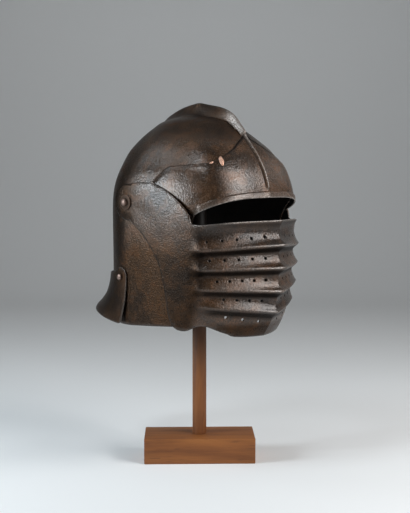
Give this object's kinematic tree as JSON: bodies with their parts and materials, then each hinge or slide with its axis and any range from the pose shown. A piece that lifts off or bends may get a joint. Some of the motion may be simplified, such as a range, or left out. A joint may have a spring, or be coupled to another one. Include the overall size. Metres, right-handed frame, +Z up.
{
  "type": "armet on wooden stand",
  "caption": "Closed steel armet with a bellows visor, ridged brow plate, low comb and flared nape plate, on a plain wooden post and block.",
  "frame": {"origin": "centre of the stand block's underside", "axes": "+Z up through the post; the helmet faces -Y and its left side is +X"},
  "size_m": [0.2058, 0.2887, 0.4484],
  "materials": {
    "russet_steel": "dark russet patina, fine pitting, worn to a soft grey sheen",
    "rivet_steel": "dark russet, rubbed brighter on the dome",
    "brazing_copper": "dull copper beads",
    "stand_wood": "stained and waxed, even grain"
  },
  "bodies": {
    "helmet_on_stand": {"skull": "russet_steel", "brow_plate": "russet_steel", "visor_rivet_right": "rivet_steel", "visor_rivet_left": "rivet_steel", "visor_washer_right": "rivet_steel", "visor_washer_left": "rivet_steel", "nape_rivet_right": "rivet_steel", "nape_rivet_left": "rivet_steel", "braze_spot_large": "brazing_copper", "braze_spot_small": "brazing_copper", "stand_block": "stand_wood", "stand_post": "stand_wood"},
    "visor": {"visor": "russet_steel"},
    "nape_plate": {"nape_plate": "russet_steel"}
  },
  "joints": [
    {"name": "visor_lift", "type": "hinge", "parent": "helmet_on_stand", "child": "visor", "pos_m": [0, 0.0284, 0.3276], "axis": [-1, 0, 0], "range_deg": [0, 60]},
    {"name": "nape_lift", "type": "hinge", "parent": "helmet_on_stand", "child": "nape_plate", "pos_m": [0, 0.042, 0.2366], "axis": [1, 0, 0], "range_deg": [0, 7]}
  ]
}
